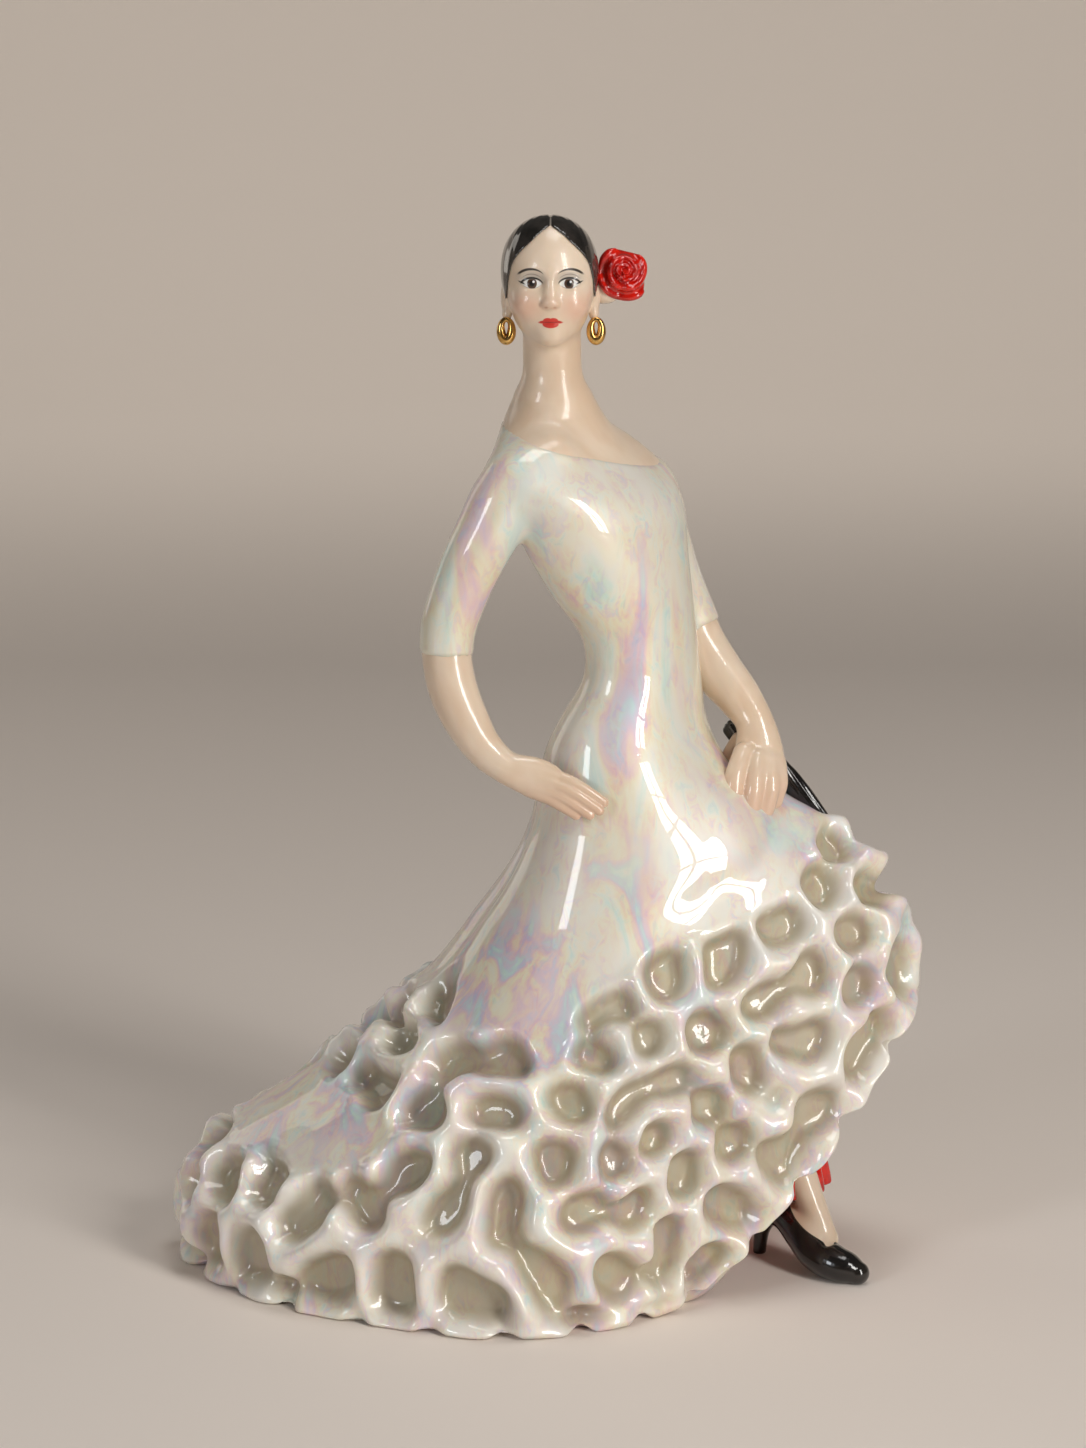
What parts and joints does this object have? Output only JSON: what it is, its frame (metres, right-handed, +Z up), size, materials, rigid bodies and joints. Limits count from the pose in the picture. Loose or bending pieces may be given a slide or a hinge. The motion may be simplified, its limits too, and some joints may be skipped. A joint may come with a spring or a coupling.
{
  "type": "porcelain flamenco dancer",
  "caption": "Glazed porcelain flamenco dancer in a flounced dress, one hand on the hip and a closed fan in the other.",
  "frame": {"origin": "middle of the bounding box, on the surface that the figurine stands on", "axes": "+Z up, +X to the dancer's lifted skirt side, -Y towards the viewer she looks at"},
  "size_m": [0.2082, 0.1355, 0.2904],
  "materials": {
    "pearl_glaze": "glossy mother-of-pearl lustre over white porcelain",
    "skin_glaze": "glossy warm cream glaze with painted features",
    "black_glaze": "glossy black glaze",
    "red_glaze": "glossy red glaze",
    "gold_lustre": "fired gold lustre"
  },
  "bodies": {
    "root": {"dancer_figurine": "pearl_glaze"}
  },
  "joints": []
}
